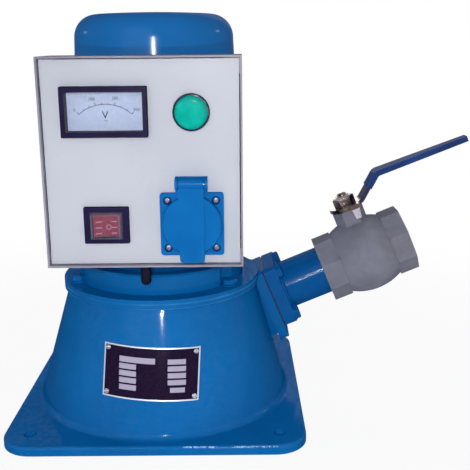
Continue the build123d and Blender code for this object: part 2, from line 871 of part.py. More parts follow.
# Pilot lamp: ring and domed lens
with BuildPart() as lamp_ring:
    with BuildSketch(front_plane(panel_y, lamp_x, lamp_z)):
        Circle(lamp_bezel_d / 2)
    extrude(amount=lamp_bezel_proud)
    fillet(lamp_ring.edges().group_by(Axis.Y)[0], lamp_edge_r)
    with BuildSketch(front_plane(panel_y, lamp_x, lamp_z)):
        Circle(lamp_body_d / 2 - cut_gap)
    extrude(amount=-lamp_body_depth)
    with BuildSketch(front_plane(panel_y - lamp_bezel_proud, lamp_x, lamp_z)):
        Circle(lamp_lens_d / 2)
    extrude(amount=-lamp_seat_depth, mode=Mode.SUBTRACT)
finish(lamp_ring, "lamp_ring")

lens_back_y = panel_y - lamp_bezel_proud + lamp_seat_depth
with BuildPart() as lamp_lens:
    with BuildSketch(front_plane(lens_back_y, lamp_x, lamp_z)):
        Circle(lamp_lens_d / 2 - seal_gap)
    extrude(amount=lamp_lens_proud - lamp_bezel_proud + lamp_seat_depth)
    fillet(lamp_lens.edges().group_by(Axis.Y)[0], lamp_dome_r)
finish(lamp_lens, "lamp_lens")

# Rocker switch: frame with its body, tilting rocker and clear boot
rocker_y = panel_y + rocker_inset
with BuildPart() as switch_frame:
    with BuildSketch(front_plane(panel_y, switch_x, switch_z)):
        RectangleRounded(switch_width, switch_height, switch_corner_r)
    extrude(amount=switch_proud)
    fillet(switch_frame.edges().group_by(Axis.Y)[0], switch_edge_r)
    with BuildSketch(front_plane(panel_y, switch_x, switch_z)):
        Rectangle(switch_hole_w - 2 * cut_gap, switch_hole_h - 2 * cut_gap)
    extrude(amount=-switch_body_depth)
    with BuildSketch(front_plane(panel_y - switch_proud, switch_x, switch_z)):
        Rectangle(switch_hole_w - 2 * switch_wall, switch_hole_h - 2 * switch_wall)
    extrude(amount=-(switch_proud + rocker_depth), mode=Mode.SUBTRACT)
    with BuildSketch(Plane.XY.offset(switch_z)):
        with Locations((switch_x, rocker_y)):
            Circle(rocker_pin_r + pin_clearance)
    extrude(amount=switch_hole_h / 2, both=True, mode=Mode.SUBTRACT)
finish(switch_frame, "switch_frame")

# The rocker turns about an upright pin through its middle and rests tilted
tilt = radians(rocker_tilt)
rocker_across = (cos(tilt), sin(tilt), 0)
rocker_plane = Plane(origin=(switch_x, rocker_y, switch_z), x_dir=rocker_across, z_dir=(0, 0, 1))
with BuildPart() as switch_rocker:
    with BuildSketch(rocker_plane):
        half = rocker_width / 2
        with BuildLine():
            Line((-half, -rocker_ends), (-half, rocker_wall))
            ThreePointArc((-half, rocker_wall), (0, rocker_belly), (half, rocker_wall))
            Line((half, rocker_wall), (half, -rocker_ends))
            ThreePointArc((half, -rocker_ends), (0, rocker_dip - rocker_ends), (-half, -rocker_ends))
        make_face()
    extrude(amount=rocker_height / 2, both=True)
    with BuildSketch(rocker_plane):
        Circle(rocker_pin_r)
    extrude(amount=switch_hole_h / 2 - cut_gap, both=True)
finish(switch_rocker, "switch_rocker")

with BuildPart() as switch_boot:
    with BuildSketch(front_plane(panel_y - switch_proud, switch_x, switch_z)):
        Rectangle(switch_hole_w, switch_hole_h)
    extrude(amount=boot_proud - switch_proud, taper=boot_taper)
    fillet(switch_boot.edges().group_by(Axis.Y)[0], boot_edge_r)
    with BuildSketch(front_plane(panel_y - switch_proud, switch_x, switch_z)):
        Rectangle(switch_hole_w - 2 * boot_wall, switch_hole_h - 2 * boot_wall)
    extrude(amount=boot_proud - switch_proud - boot_wall, taper=boot_taper, mode=Mode.SUBTRACT)
finish(switch_boot, "switch_boot")

# Socket: square flange, round body, pin well and the two hinge lugs
knuckle_half = lid_band_width / 2
lug_width = (hinge_width - lid_band_width) / 2 - hinge_gap
with BuildPart() as socket_base:
    with BuildSketch(front_plane(panel_y, socket_x, socket_z)):
        RectangleRounded(socket_size, socket_size, socket_corner_r)
    extrude(amount=socket_proud)
    with BuildSketch(front_plane(panel_y, socket_x, socket_z)):
        Circle(socket_body_d / 2 - cut_gap)
    extrude(amount=-socket_body_depth)
    with BuildSketch(front_plane(panel_y, socket_x, hinge_z)):
        with Locations((0, (hinge_r - hinge_rise) / 2)):
            Rectangle(hinge_width, hinge_rise + hinge_r)
    extrude(amount=socket_proud)
    for side in (-1, 1):
        lug_x = socket_x + side * (knuckle_half + hinge_gap + lug_width / 2)
        with BuildSketch(Plane(origin=(lug_x, hinge_y, hinge_z), x_dir=(0, 1, 0), z_dir=(1, 0, 0))):
            Circle(hinge_r)
            with Locations((hinge_r / 2, 0)):
                Rectangle(hinge_r, 2 * hinge_r)
            Circle(hinge_pin_r + pin_clearance, mode=Mode.SUBTRACT)
        extrude(amount=lug_width / 2, both=True)
    with BuildSketch(front_plane(socket_front_y, socket_x, socket_z)):
        Circle(socket_well_d / 2)
    extrude(amount=-socket_well_depth, mode=Mode.SUBTRACT)
    with BuildSketch(front_plane(socket_front_y + socket_well_depth, socket_x, socket_z)):
        with GridLocations(socket_pin_spacing, 1, 2, 1):
            Circle(socket_pin_hole_d / 2)
    extrude(amount=-socket_pin_depth, mode=Mode.SUBTRACT)
    with BuildSketch(front_plane(socket_front_y, socket_x, socket_z)):
        with GridLocations(socket_screw_spacing, socket_screw_spacing, 2, 2):
            Circle(socket_screw_d / 2 + bore_clearance)
    extrude(amount=-socket_proud, mode=Mode.SUBTRACT)
    with BuildSketch(front_plane(socket_front_y, socket_x, socket_z)):
        with GridLocations(socket_screw_spacing, socket_screw_spacing, 2, 2):
            Circle(socket_screw_bore_d / 2)
    extrude(amount=-socket_screw_sink, mode=Mode.SUBTRACT)
finish(socket_base, "socket_base")

screw_seat_y = socket_front_y + socket_screw_sink
with BuildPart() as socket_screws:
    with BuildSketch(front_plane(screw_seat_y, socket_x, socket_z)):
        with GridLocations(socket_screw_spacing, socket_screw_spacing, 2, 2):
            Circle(socket_screw_head_d / 2)
    extrude(amount=socket_screw_head_h)
    with BuildSketch(front_plane(screw_seat_y, socket_x, socket_z)):
        with GridLocations(socket_screw_spacing, socket_screw_spacing, 2, 2):
            Circle(socket_screw_d / 2)
    extrude(amount=socket_screw_sink - socket_proud)
finish(socket_screws, "socket_screws")

# Flap lid: a disc with a raised band that runs from the knuckle to the thumb tab
lid_back_y = socket_front_y - lid_gap
with BuildPart() as socket_lid:
    with BuildSketch(front_plane(lid_back_y, socket_x, socket_z)):
        Circle(lid_d / 2)
    extrude(amount=lid_thick)
    fillet(socket_lid.edges().group_by(Axis.Y)[0], lid_edge_r)
    with BuildSketch(front_plane(lid_back_y, socket_x, socket_z)) as band:
        with Locations((0, (hinge_z - socket_z - lid_tab_end) / 2)):
            Rectangle(lid_band_width, hinge_z - socket_z + lid_tab_end)
        fillet(band.vertices().group_by(Axis.Y)[0], lid_tab_r)
    extrude(amount=lid_thick + lid_band_proud)
    with BuildSketch(Plane(origin=(socket_x, hinge_y, hinge_z), x_dir=(0, 1, 0), z_dir=(1, 0, 0))):
        Circle(hinge_r - lid_gap)
    extrude(amount=knuckle_half, both=True)
    with BuildSketch(Plane(origin=(socket_x, hinge_y, hinge_z), x_dir=(0, 1, 0), z_dir=(1, 0, 0))):
        Circle(hinge_pin_r + pin_clearance)
    extrude(amount=knuckle_half, both=True, mode=Mode.SUBTRACT)
finish(socket_lid, "socket_lid")

with BuildPart() as lid_pin:
    with BuildSketch(Plane(origin=(socket_x, hinge_y, hinge_z), x_dir=(0, 1, 0), z_dir=(1, 0, 0))):
        Circle(hinge_pin_r)
    extrude(amount=hinge_width / 2, both=True)
finish(lid_pin, "lid_pin")

# Nameplate bent to the cone, with a rivet in each corner
turn = radians(nameplate_turn)
plate_across = Vector(cos(turn), 0, sin(turn))
plate_up = Vector(-sin(turn), 0, cos(turn))
plate_middle = Vector(nameplate_x, 0, nameplate_z)
with BuildPart() as nameplate:
    with BuildSketch(Plane.XZ):
        low = nameplate_z - nameplate_height
        high = nameplate_z + nameplate_height
        with BuildLine():
            Polyline(
                (cone_r(low) + nameplate_gap, low),
                (cone_r(low) + nameplate_gap + nameplate_thick, low),
                (cone_r(high) + nameplate_gap + nameplate_thick, high),
                (cone_r(high) + nameplate_gap, high),
                close=True,
            )
        make_face()
    revolve(axis=Axis.Z)
    with BuildSketch(Plane(origin=plate_middle, x_dir=plate_across, z_dir=(0, -1, 0))):
        Rectangle(nameplate_width, nameplate_height)
    extrude(amount=2 * cone_foot_r, mode=Mode.INTERSECT)
finish(nameplate, "nameplate")

with BuildPart() as nameplate_rivets:
    for row in (-1, 1):
        for side in (-1, 1):
            spot = plate_middle + plate_across * side * (nameplate_width / 2 - rivet_inset)
            spot += plate_up * row * (nameplate_height / 2 - rivet_inset)
            r = cone_r(spot.Z) + nameplate_gap + nameplate_thick
            spot = Vector(spot.X, -sqrt(r * r - spot.X**2), spot.Z)
            out = Vector(spot.X / r, spot.Y / r, -cone_slope)
            with BuildSketch(Plane(origin=spot, z_dir=out)):
                Circle(rivet_d / 2)
            extrude(amount=rivet_h)
finish(nameplate_rivets, "nameplate_rivets")

os.makedirs("parts", exist_ok=True)
for label, part in made.items():
    export_step(part, f"parts/{label}.step")
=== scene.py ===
import bpy
import math
from mathutils import Matrix, Vector


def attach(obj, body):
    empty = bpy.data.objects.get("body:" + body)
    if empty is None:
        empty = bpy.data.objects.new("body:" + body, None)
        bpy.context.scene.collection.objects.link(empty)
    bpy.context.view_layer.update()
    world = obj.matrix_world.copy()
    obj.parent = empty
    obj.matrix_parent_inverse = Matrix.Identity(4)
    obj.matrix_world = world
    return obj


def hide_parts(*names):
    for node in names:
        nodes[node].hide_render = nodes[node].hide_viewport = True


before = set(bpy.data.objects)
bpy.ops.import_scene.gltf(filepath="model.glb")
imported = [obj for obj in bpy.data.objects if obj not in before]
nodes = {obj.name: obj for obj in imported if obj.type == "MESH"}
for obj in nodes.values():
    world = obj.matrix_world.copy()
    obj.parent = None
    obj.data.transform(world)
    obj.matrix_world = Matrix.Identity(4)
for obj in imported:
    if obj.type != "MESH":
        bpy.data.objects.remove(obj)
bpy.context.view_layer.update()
print("frame loaded,", len(nodes), "nodes")

# places that several pieces share, in metres; a middle is given as x and z on the front
inletAxis = Vector((0.92388, 0.0, 0.382683))
stemAxis = Vector((-0.382683, 0.0, 0.92388))
inletStart = Vector((0.1085, 0.040, 0.0895))
valveCentre = Vector((0.202736, 0.040, 0.128534))
plateMiddle = (-0.0022, 0.0618)
dialMiddle = (-0.0275, 0.2871)
switchMiddle = (-0.0296, 0.1986)
socketMiddle = (0.0377, 0.1992)
socketAside = 0.019
towardsFront = (0, -1, 0)
squareCorners = ((-1, -1), (-1, 1), (1, 1), (1, -1))


def tone(red, green, blue):
    # a colour as a paint shop writes it, 0 to 255, made linear
    def linear(level):
        level = level / 255
        return level / 12.92 if level < 0.04045 else ((level + 0.055) / 1.055) ** 2.4
    return (linear(red), linear(green), linear(blue), 1.0)


def plug(tree, node, values):
    # sets a node's inputs, with a link where the value is a wire
    for name, value in values.items():
        if isinstance(value, Wire):
            tree.links.new(value.socket, node.inputs[name])
        else:
            node.inputs[name].default_value = value


class Wire:
    # one output of a material's node, with sums that add their own nodes
    def __init__(self, tree, socket):
        self.tree = tree
        self.socket = socket

    def node(self, kind, settings, values, out=0):
        made = self.tree.nodes.new("ShaderNode" + kind)
        for name, value in settings.items():
            setattr(made, name, value)
        plug(self.tree, made, values)
        return Wire(self.tree, made.outputs[out])

    def sums(self, operation, first, second=0.0):
        return self.node("Math", {"operation": operation}, {0: first, 1: second})

    def __add__(self, other):
        return self.sums("ADD", self, other)

    def __sub__(self, other):
        return self.sums("SUBTRACT", self, other)

    def __rsub__(self, other):
        return self.sums("SUBTRACT", other, self)

    def __mul__(self, other):
        return self.sums("MULTIPLY", self, other)

    __radd__ = __add__

    def size(self):
        return self.sums("ABSOLUTE", self)

    def far(self, other):
        # the distance covered by this step and another square to it
        return self.sums("SQRT", self * self + other * other)

    def wave(self):
        return self.sums("SINE", self)

    def least(self, other):
        return self.sums("MINIMUM", self, other)

    def most(self, other):
        return self.sums("MAXIMUM", self, other)

    def rise(self, low, high):
        # 0 below low, 1 above high and a soft step between them
        return self.node("MapRange", {"interpolation_type": "SMOOTHSTEP"},
                         {"Value": self, "From Min": low, "From Max": high})

    def within(self, half, soft):
        # 1 where this is less than half away from 0 on either side
        return 1 - self.size().rise(half - soft, half + soft)

    def blend(self, off, on):
        # one colour where this is 0, the other where it is 1
        return self.node("Mix", {"data_type": "RGBA"}, {0: self, 6: off, 7: on}, out=2)

    def split(self):
        parts = self.node("SeparateXYZ", {}, {0: self})
        return [Wire(self.tree, parts.socket.node.outputs[index]) for index in range(3)]

    def grain(self, scale, detail, rough):
        return self.node("TexNoise", {}, {"Vector": self, "Scale": scale, "Detail": detail,
                                          "Roughness": rough})

    def stretched(self, scale, offset=(0, 0, 0)):
        return self.node("Mapping", {}, {"Vector": self, "Location": offset, "Scale": scale})

    def bump(self, depth, distance):
        return self.node("Bump", {}, {"Strength": depth, "Distance": distance, "Height": self})


def startMaterial(name):
    made = bpy.data.materials.new(name)
    made.use_nodes = True
    tree = made.node_tree
    place = tree.nodes.new("ShaderNodeTexCoord")
    return made, Wire(tree, place.outputs["Object"])


def feed(made, values):
    plug(made.node_tree, made.node_tree.nodes["Principled BSDF"], values)
    return made


# a thin clear film: it shows a lamp's glint and hardly veils a surface seen edge on
film = {"Specular IOR Level": 0.0, "Coat IOR": 3.0}

# In all that follows a grain is its scale, detail and roughness, a band the two ends of a
# soft step, and a bump its strength and height.

# painted highlights on a casting's enamel: pale lines on turned edges by radius and height, glints
# on the plate's edge by middle and half
castingPaintedGlints = {"edges": ((0.0925, 0.12), (0.0925, 0.1155), (0.078, 0.1445), (0.0765, 0.146)),
               "rimGlint": tone(84, 152, 206), "rimGlintShare": 0.45, "rimGlintBand": (0.0004, 0.001),
               "patches": (0.3, 0.6), "plateEdge": (-0.1313, 0.0073),
               "glintRuns": ((0.040, 0.013), (0.087, 0.018)), "glintRunBand": (0.0004, 0.0009),
               "fade": 0.003, "glintBreakup": (0.4, 0.55), "paleEdge": tone(176, 214, 240),
               "paleEdgeShare": 0.85}


def withPaintedGlints(place, cloud, peel, colour, paintedGlints):
    x, y, z = place.split()
    # painted highlights: pale lines along the turned edges of the rim and the end bell
    radius = x.far(y)
    for edgeRadius, edgeHeight in paintedGlints["edges"]:
        near = 1 - (radius - edgeRadius).far(z - edgeHeight).rise(*paintedGlints["rimGlintBand"])
        rimGlint = near * cloud.rise(*paintedGlints["patches"]) * paintedGlints["rimGlintShare"]
        colour = rimGlint.blend(colour, paintedGlints["rimGlint"])
    # and painted glints in two places along the front edge of the base plate
    near = 1 - (y - paintedGlints["plateEdge"][0]).far(z - paintedGlints["plateEdge"][1]).rise(*paintedGlints["glintRunBand"])
    (firstMiddle, firstHalf), (lastMiddle, lastHalf) = paintedGlints["glintRuns"]
    along = ((x - firstMiddle).size() - firstHalf).least((x - lastMiddle).size() - lastHalf)
    glinted = near * (1 - along.rise(-paintedGlints["fade"], paintedGlints["fade"])) * peel.rise(*paintedGlints["glintBreakup"])
    return (glinted * paintedGlints["paleEdgeShare"]).blend(colour, paintedGlints["paleEdge"])


# blue enamel, brushed over castings and sprayed on the cover
enamel = {"cloud": (9.0, 4.0, 0.6), "cloudBand": (0.25, 0.75), "roughBand": (0.35, 0.75),
          "cloudRough": 0.06, "rough": 0.4, "specks": (900.0, 2.0, 0.7),
          "speckBand": (0.68, 0.78), "speckPatch": (0.45, 0.7), "speckRough": 0.2,
          "bump": (0.35, 0.0012), "brushScale": (260, 260, 700), "brush": (1.0, 3.0, 0.6),
          "brushBand": (0.42, 0.58)}
castingPaint = {"lit": tone(12, 109, 181), "deep": tone(6, 97, 165),
                "dust": tone(80, 124, 164), "dustShare": 0.12,
                "peel": (520.0, 2.0, 0.5), "peelDepth": 0.16,
                "lumps": (110.0, 3.0, 0.55), "lumpDepth": 0.3,
                "film": 0.045, "filmEven": 0.25, "filmRough": 0.11, "paintedGlints": castingPaintedGlints}
coverPaint = {"lit": tone(14, 112, 186), "deep": tone(8, 102, 174),
              "dust": tone(90, 130, 170), "dustShare": 0.09,
              "peel": (380.0, 2.0, 0.5), "peelDepth": 0.03,
              "lumps": (40.0, 3.0, 0.55), "lumpDepth": 0.1,
              "film": 0.045, "filmEven": 0.96, "filmRough": 0.15}
pipePaint = {"lit": tone(12, 101, 173), "deep": tone(6, 87, 155),
             "dust": tone(80, 124, 164), "dustShare": 0.12,
             "peel": (600.0, 2.0, 0.5), "peelDepth": 0.2,
             "lumps": (150.0, 3.0, 0.55), "lumpDepth": 0.36,
             "film": 0.035, "filmEven": 0.4, "filmRough": 0.15}


def paintMaterial(name, values):
    made, place = startMaterial(name)
    cloud = place.grain(*enamel["cloud"])
    peel = place.grain(*values["peel"])
    lumps = place.grain(*values["lumps"])
    specks = place.grain(*enamel["specks"]).rise(*enamel["speckBand"])
    specks = specks * cloud.rise(*enamel["speckPatch"])
    colour = cloud.rise(*enamel["cloudBand"]).blend(values["deep"], values["lit"])
    colour = (specks * values["dustShare"]).blend(colour, values["dust"])
    # painted highlights on the rim's edges and painted glints on the base plate's edge
    if "paintedGlints" in values:
        colour = withPaintedGlints(place, cloud, peel, colour, values["paintedGlints"])
    rough = cloud.rise(*enamel["roughBand"]) * enamel["cloudRough"] + enamel["rough"]
    rough = rough + specks * enamel["speckRough"]
    height = peel * values["peelDepth"] + lumps * values["lumpDepth"]
    brushed = place.stretched(enamel["brushScale"]).grain(*enamel["brush"])
    brushed = brushed.rise(*enamel["brushBand"])
    even = values["filmEven"]
    return feed(made, {"Base Color": colour, "Roughness": rough,
                       "Normal": height.bump(*enamel["bump"]),
                       "Coat Weight": (brushed * (1 - even) + even) * values["film"],
                       "Coat Roughness": values["filmRough"], **film})


# pale enamel of the control box and its panel, smeared by hands
sheet = {"wide": (9.0, 3.0, 0.5), "wideBand": (0.3, 0.7), "smearScale": (22, 22, 9),
         "smearOffset": (0.3, 0.1, 0.7), "smear": (1.0, 5.0, 0.65), "smearBand": (0.58, 0.74),
         "smearShare": 0.35, "smearRough": 0.12, "fine": (700.0, 2.0, 0.5), "fineRough": 0.05,
         "bump": (0.12, 0.0004), "film": 0.01, "filmRough": 0.3}
panelPaint = {"lit": tone(190, 194, 205), "deep": tone(184, 188, 200),
              "smudge": tone(168, 172, 186), "rough": 0.42}
boxPaint = {"lit": tone(156, 154, 168), "deep": tone(136, 133, 148),
            "smudge": tone(112, 106, 122), "rough": 0.36}


def sheetMaterial(name, values):
    made, place = startMaterial(name)
    wide = place.grain(*sheet["wide"])
    smear = place.stretched(sheet["smearScale"], sheet["smearOffset"]).grain(*sheet["smear"])
    smear = smear.rise(*sheet["smearBand"])
    fine = place.grain(*sheet["fine"])
    colour = wide.rise(*sheet["wideBand"]).blend(values["deep"], values["lit"])
    colour = (smear * sheet["smearShare"]).blend(colour, values["smudge"])
    rough = values["rough"] + smear * sheet["smearRough"] + fine * sheet["fineRough"]
    return feed(made, {"Base Color": colour, "Roughness": rough,
                       "Normal": fine.bump(*sheet["bump"]),
                       "Coat Weight": sheet["film"] + fine * sheet["film"],
                       "Coat Roughness": sheet["filmRough"], **film})


# moulded plastics; the socket's is painted darker round the bores of its screws, a painted shade in
# the recesses
plastic = {"cloud": (30.0, 3.0, 0.5), "cloudBand": (0.3, 0.7), "cloudRough": 0.08,
           "fine": (1600.0, 2.0, 0.6), "fineHigh": 0.0003, "scuff": (260.0, 4.0, 0.7),
           "scuffBand": (0.62, 0.7), "scuffRough": 0.1, "filmLeast": 0.5}
socketPlastic = {"lit": tone(15, 103, 174), "deep": tone(9, 96, 165), "rough": 0.4,
                 "fineDepth": 0.1, "film": 0.014, "filmRough": 0.2,
                 "boreShade": tone(10, 40, 90), "boreShadeBand": (0.0031, 0.0035)}
blackPlastic = {"lit": tone(36, 30, 66), "deep": tone(26, 22, 48), "rough": 0.4,
                "fineDepth": 0.08, "film": 0.02, "filmRough": 0.25}
ringPlastic = {"lit": tone(14, 44, 66), "deep": tone(10, 30, 48), "rough": 0.4,
               "fineDepth": 0.06, "film": 0.06, "filmRough": 0.12}
gripVinyl = {"lit": tone(38, 72, 136), "deep": tone(30, 56, 114), "rough": 0.4,
             "fineDepth": 0.12, "film": 0.06, "filmRough": 0.16}
dialInk = {"lit": tone(46, 48, 76), "deep": tone(38, 40, 66), "rough": 0.5,
           "fineDepth": 0.02, "film": 0.0, "filmRough": 0.4}
glandPlastic = {"lit": tone(22, 22, 44), "deep": tone(14, 14, 30), "rough": 0.4,
                "fineDepth": 0.2, "film": 0.03, "filmRough": 0.2}


def plasticMaterial(name, values):
    made, place = startMaterial(name)
    cloud = place.grain(*plastic["cloud"])
    fine = place.grain(*plastic["fine"])
    scuff = place.grain(*plastic["scuff"]).rise(*plastic["scuffBand"])
    colour = cloud.rise(*plastic["cloudBand"]).blend(values["deep"], values["lit"])
    # painted shade: darker in a ring round each screw's bore
    if "boreShade" in values:
        x, y, z = place.split()
        away = ((x - socketMiddle[0]).size() - socketAside).far(
            (z - socketMiddle[1]).size() - socketAside)
        colour = (1 - away.rise(*values["boreShadeBand"])).blend(colour, values["boreShade"])
    rough = values["rough"] + cloud * plastic["cloudRough"] + scuff * plastic["scuffRough"]
    return feed(made, {"Base Color": colour, "Roughness": rough,
                       "Normal": fine.bump(values["fineDepth"], plastic["fineHigh"]),
                       "Coat Weight": (fine + plastic["filmLeast"]) * values["film"],
                       "Coat Roughness": values["filmRough"], **film})


# the rocker: red plastic with two columns of pale dashes, and a ring at the end of one dash
rockerLook = {"red": tone(160, 34, 58), "deep": tone(116, 22, 46), "mark": tone(214, 176, 188),
              "markShare": 0.75, "rows": (0.0028, -0.0019, -0.0066),
              "dashes": (-0.0062, 0.0056), "dashHalf": 0.0023, "lineHalf": 0.0004,
              "soft": 0.00012, "ring": (0.0015, -0.0016), "ringR": 0.0018,
              "ringBand": (0.0002, 0.0004), "fine": (500.0, 3.0, 0.5), "fineBand": (0.3, 0.7),
              "fineRough": 0.08, "rough": 0.3, "glow": 0.12, "film": 0.03, "filmRough": 0.2}


def rockerMaterial(name, look):
    made, place = startMaterial(name)
    x, y, z = place.split()
    u = x - switchMiddle[0]
    v = z - switchMiddle[1]
    away = (u - look["ring"][0]).far(v - look["ring"][1]) - look["ringR"]
    mark = 1 - away.size().rise(*look["ringBand"])
    for row in look["rows"]:
        line = (v - row).within(look["lineHalf"], look["soft"])
        for middle in look["dashes"]:
            dash = line * (u - middle).within(look["dashHalf"], look["soft"])
            mark = mark.most(dash)
    fine = place.grain(*look["fine"])
    colour = fine.rise(*look["fineBand"]).blend(look["deep"], look["red"])
    colour = (mark * look["markShare"]).blend(colour, look["mark"])
    return feed(made, {"Base Color": colour, "Roughness": look["rough"] + fine * look["fineRough"],
                       "Emission Color": look["red"], "Emission Strength": look["glow"],
                       "Coat Weight": fine * look["film"], "Coat Roughness": look["filmRough"],
                       **film})


# bare and plated metals
metal = {"cloud": (45.0, 4.0, 0.6), "cloudBand": (0.2, 0.8), "sand": (1100.0, 3.0, 0.6),
         "sandHigh": 0.0004, "sandRough": 0.08, "stain": (120.0, 5.0, 0.7),
         "stainBand": (0.55, 0.72), "stainRough": 0.14}
valveMetal = {"lit": tone(140, 143, 159), "deep": tone(124, 123, 136), "metal": 0.0,
              "rough": 0.5, "pits": 0.5, "gloss": 0.0, "stainShare": 0.15}
leverMetal = {"lit": tone(142, 126, 120), "deep": tone(72, 58, 58), "metal": 1.0,
              "rough": 0.2, "pits": 0.12, "gloss": 0.0, "stainShare": 0.4,
              "armShade": tone(60, 60, 88), "armShadeBand": (0.0135, 0.0165), "armShadeEdge": 0.002,
              "armShadeDull": 0.85, "stop": tone(222, 214, 230), "stopBand": (0.0505, 0.0515)}
nutMetal = {"lit": tone(160, 152, 150), "deep": tone(74, 62, 60), "metal": 1.0,
            "rough": 0.14, "pits": 0.08, "gloss": 0.5, "stainShare": 0.4}
shaftMetal = {"lit": tone(160, 162, 168), "deep": tone(120, 122, 130), "metal": 1.0,
              "rough": 0.28, "pits": 0.15, "gloss": 0.5, "stainShare": 0.4}
brassMetal = {"lit": tone(190, 160, 96), "deep": tone(150, 120, 70), "metal": 1.0,
              "rough": 0.32, "pits": 0.2, "gloss": 0.5, "stainShare": 0.4}
rivetMetal = {"lit": tone(205, 206, 212), "deep": tone(150, 150, 162), "metal": 1.0,
              "rough": 0.24, "pits": 0.1, "gloss": 0.5, "stainShare": 0.4}
screwMetal = {"lit": tone(130, 134, 158), "deep": tone(72, 76, 104), "metal": 1.0,
              "rough": 0.34, "pits": 0.1, "gloss": 0.5, "stainShare": 0.4}


def metalMaterial(name, values):
    made, place = startMaterial(name)
    cloud = place.grain(*metal["cloud"])
    sand = place.grain(*metal["sand"])
    stain = place.grain(*metal["stain"]).rise(*metal["stainBand"])
    colour = cloud.rise(*metal["cloudBand"]) - stain * values["stainShare"]
    colour = colour.blend(values["deep"], values["lit"])
    metallic = values["metal"]
    if "armShade" in values:
        # painted shade: the lever's arm, away from its stem, is painted dark and made less metallic
        x, y, z = place.split()
        right = x - valveCentre.x
        above = z - valveCentre.z
        run = right * inletAxis.x + above * inletAxis.z
        armShade = (run + cloud * values["armShadeEdge"]).rise(*values["armShadeBand"])
        colour = armShade.blend(colour, values["armShade"])
        # and its stop, which hangs below the plate, is painted bright as a painted highlight
        height = above * stemAxis.z + right * stemAxis.x
        stop = (1 - height.rise(*values["stopBand"])) * (1 - armShade)
        colour = stop.blend(colour, values["stop"])
        metallic = 1 - armShade * values["armShadeDull"]
    rough = values["rough"] + stain * metal["stainRough"] + sand * metal["sandRough"]
    return feed(made, {"Base Color": colour, "Metallic": metallic, "Roughness": rough,
                       "Specular IOR Level": values["gloss"],
                       "Normal": sand.bump(values["pits"], metal["sandHigh"])})


# the meter's window, and the switch's boot with a sloping edge that is less clear
glass = {"haze": (80.0, 3.0, 0.6), "hazeAlpha": 0.06, "hazePale": 0.1, "hazeRough": 0.06,
         "hazeFilm": 0.02, "white": (1, 1, 1, 1)}
windowGlass = {"colour": tone(200, 206, 222), "alpha": 0.01, "rough": 0.03, "film": 0.06}
bootVinyl = {"colour": tone(118, 114, 140), "alpha": 0.1, "rough": 0.1, "film": 0.1,
             "margin": 0.3, "marginSoft": 0.0004, "half": (0.0105, 0.009)}


def glassMaterial(name, values):
    made, place = startMaterial(name)
    haze = place.grain(*glass["haze"])
    alpha = values["alpha"] + haze * glass["hazeAlpha"]
    if "margin" in values:
        x, y, z = place.split()
        aside = ((x - switchMiddle[0]).size() - values["half"][0]).most(
            (z - switchMiddle[1]).size() - values["half"][1])
        soft = values["marginSoft"]
        alpha = alpha + aside.rise(-soft, soft) * values["margin"]
    colour = (haze * glass["hazePale"]).blend(values["colour"], glass["white"])
    rough = values["rough"] + haze * glass["hazeRough"]
    return feed(made, {"Base Color": colour, "Roughness": rough, "Alpha": alpha,
                       "Coat Weight": values["film"] + haze * glass["hazeFilm"],
                       "Coat Roughness": values["rough"], **film})


gasketRubber = {"deep": tone(14, 14, 20), "lit": tone(30, 30, 40), "fine": (500.0, 3.0, 0.5),
                "rough": 0.6, "fineRough": 0.1, "bump": (0.2, 0.0003)}


def rubberMaterial(name, look):
    made, place = startMaterial(name)
    fine = place.grain(*look["fine"])
    return feed(made, {"Base Color": fine.blend(look["deep"], look["lit"]),
                       "Roughness": look["rough"] + fine * look["fineRough"],
                       "Normal": fine.bump(*look["bump"])})


# the pilot lamp: green plastic with fine prisms moulded in its back
lensLook = {"deep": tone(1, 154, 140), "lit": tone(3, 170, 156), "prisms": 2400,
            "bump": (0.1, 0.0002), "fine": (160.0, 3.0, 0.5), "fineBand": (0.3, 0.7),
            "rough": 0.14, "fineRough": 0.05, "glow": 0.1, "film": 0.03, "fineFilm": 0.01,
            "filmRough": 0.08}


def lensMaterial(name, look):
    made, place = startMaterial(name)
    x, y, z = place.split()
    prisms = (x * look["prisms"]).wave() * (z * look["prisms"]).wave()
    fine = place.grain(*look["fine"])
    colour = fine.rise(*look["fineBand"]).blend(look["deep"], look["lit"])
    return feed(made, {"Base Color": colour, "Roughness": look["rough"] + fine * look["fineRough"],
                       "Normal": prisms.bump(*look["bump"]), "Emission Color": colour,
                       "Emission Strength": look["glow"],
                       "Coat Weight": look["film"] + fine * look["fineFilm"],
                       "Coat Roughness": look["filmRough"], **film})


# the nameplate: black print in a bare edge, with blank fields where it would be filled in
plateLook = {"turn": -2.8, "half": (0.0417, 0.0218), "edge": 0.0013, "edgeSoft": 0.0003,
             "fieldEdge": (-0.0001, 0.0002), "black": tone(26, 12, 40), "worn": tone(34, 20, 50),
             "paleEdge": tone(200, 206, 222), "field": tone(176, 170, 194), "fine": (700.0, 3.0, 0.5),
             "fineBand": (0.35, 0.7), "rough": 0.3, "fineRough": 0.12, "metal": 0.8,
             "fieldHigh": 0.5, "edgeHigh": 1.2, "bump": (0.12, 0.0003), "film": 0.03,
             "filmRough": 0.16, "rows": 4, "rowShift": 0.00025}

# its fields by their left, right, low and high sides: two that stand alone and two columns
plateFields = [(-0.0278, 0.0033, 0.0083, 0.0129), (0.0172, 0.0297, -0.0146, -0.0107)]
fieldColumns = ({"left": -0.0278, "right": -0.0130, "top": 0.0070, "pitch": 0.0057, "high": 0.0042},
                {"left": 0.0142, "right": 0.0296, "top": 0.0124, "pitch": 0.0056, "high": 0.0041})
for column in fieldColumns:
    for row in range(plateLook["rows"]):
        shift = row * plateLook["rowShift"]
        top = column["top"] - row * column["pitch"]
        plateFields.append((column["left"] + shift, column["right"] + shift,
                            top - column["high"], top))


